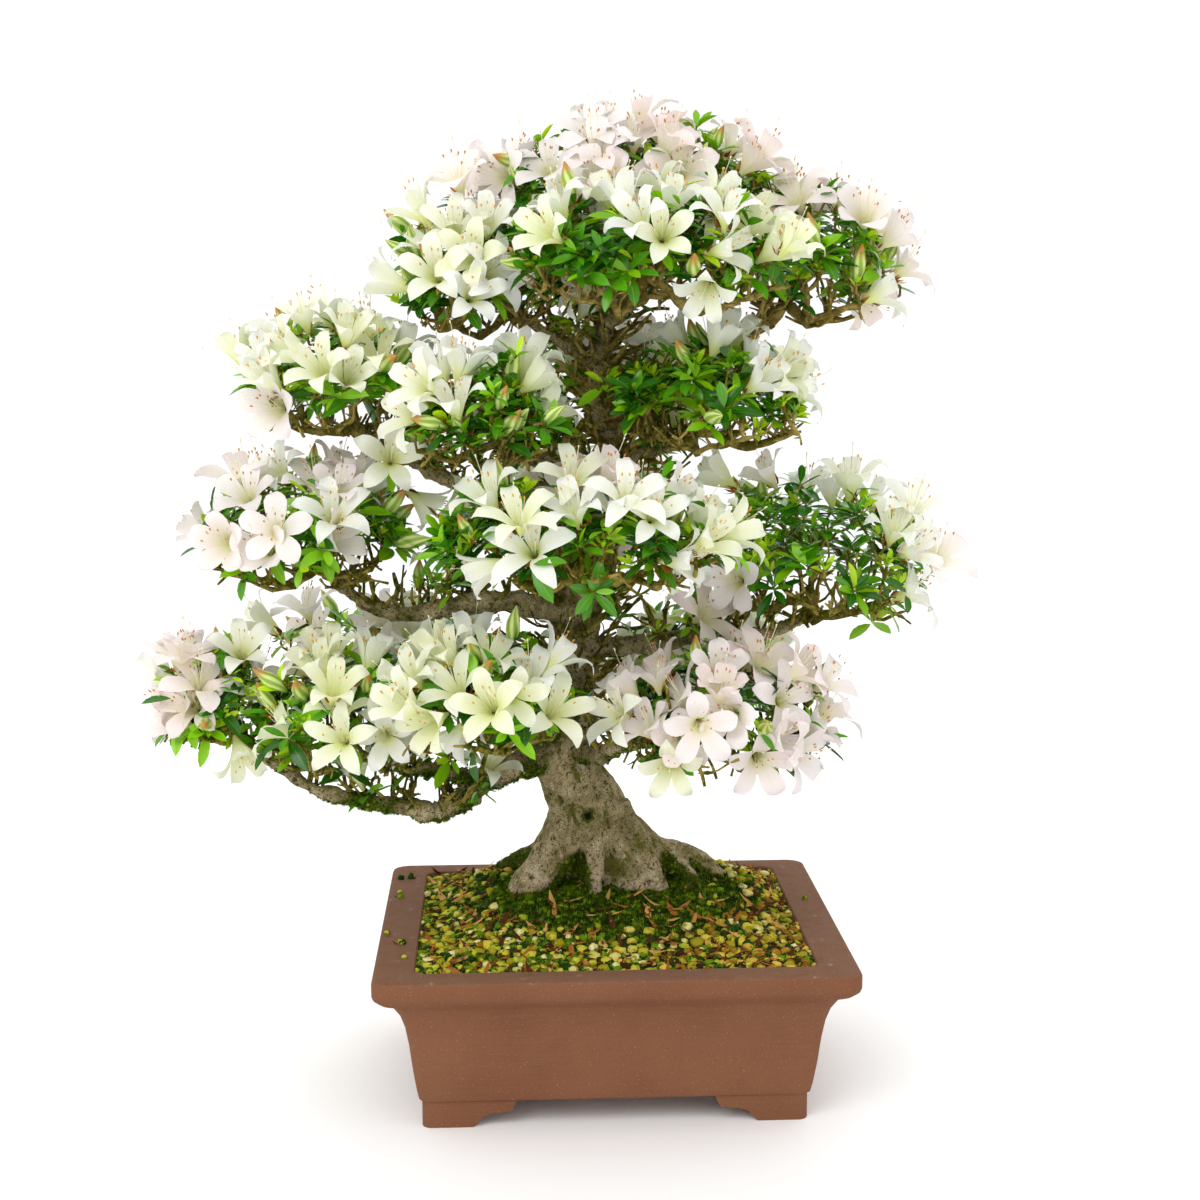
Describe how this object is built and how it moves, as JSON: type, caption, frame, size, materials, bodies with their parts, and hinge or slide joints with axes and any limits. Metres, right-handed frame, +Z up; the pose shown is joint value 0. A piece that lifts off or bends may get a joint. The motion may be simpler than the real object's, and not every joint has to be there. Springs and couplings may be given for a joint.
{
  "type": "azalea bonsai",
  "caption": "Azalea bonsai in bloom: leaning tapered trunk on flared roots, tiered pads of leaves and blossoms, in a rectangular clay pot with a lip and cut feet.",
  "frame": {"origin": "centre of the whole part's box, on the ground under the pot's feet", "axes": "+Z up; +X to the right along the pot's long side, seen from the front; +Y towards the back"},
  "size_m": [0.571, 0.3286, 0.6866],
  "materials": {
    "clay": "matte",
    "soil": "matte",
    "bark": "matte",
    "foliage": "matte"
  },
  "bodies": {
    "root": {"pot": "clay", "soil": "soil", "trunk": "bark", "low_tip_bough": "bark", "low_tip_foliage": "foliage", "low_left_bough": "bark", "low_left_foliage": "foliage", "low_front_bough": "bark", "low_front_foliage": "foliage", "low_right_bough": "bark", "low_right_foliage": "foliage", "low_back_left_bough": "bark", "low_back_left_foliage": "foliage", "low_back_right_bough": "bark", "low_back_right_foliage": "foliage", "mid_left_bough": "bark", "mid_left_foliage": "foliage", "mid_front_bough": "bark", "mid_front_foliage": "foliage", "mid_right_bough": "bark", "mid_right_foliage": "foliage", "mid_back_bough": "bark", "mid_back_foliage": "foliage", "high_left_bough": "bark", "high_left_foliage": "foliage", "high_front_bough": "bark", "high_front_foliage": "foliage", "high_right_bough": "bark", "high_right_foliage": "foliage", "high_back_bough": "bark", "high_back_foliage": "foliage", "crown_left_bough": "bark", "crown_left_foliage": "foliage", "crown_front_bough": "bark", "crown_front_foliage": "foliage", "crown_right_bough": "bark", "crown_right_foliage": "foliage", "crown_top_foliage": "foliage", "crown_back_bough": "bark", "crown_back_foliage": "foliage"}
  },
  "joints": []
}
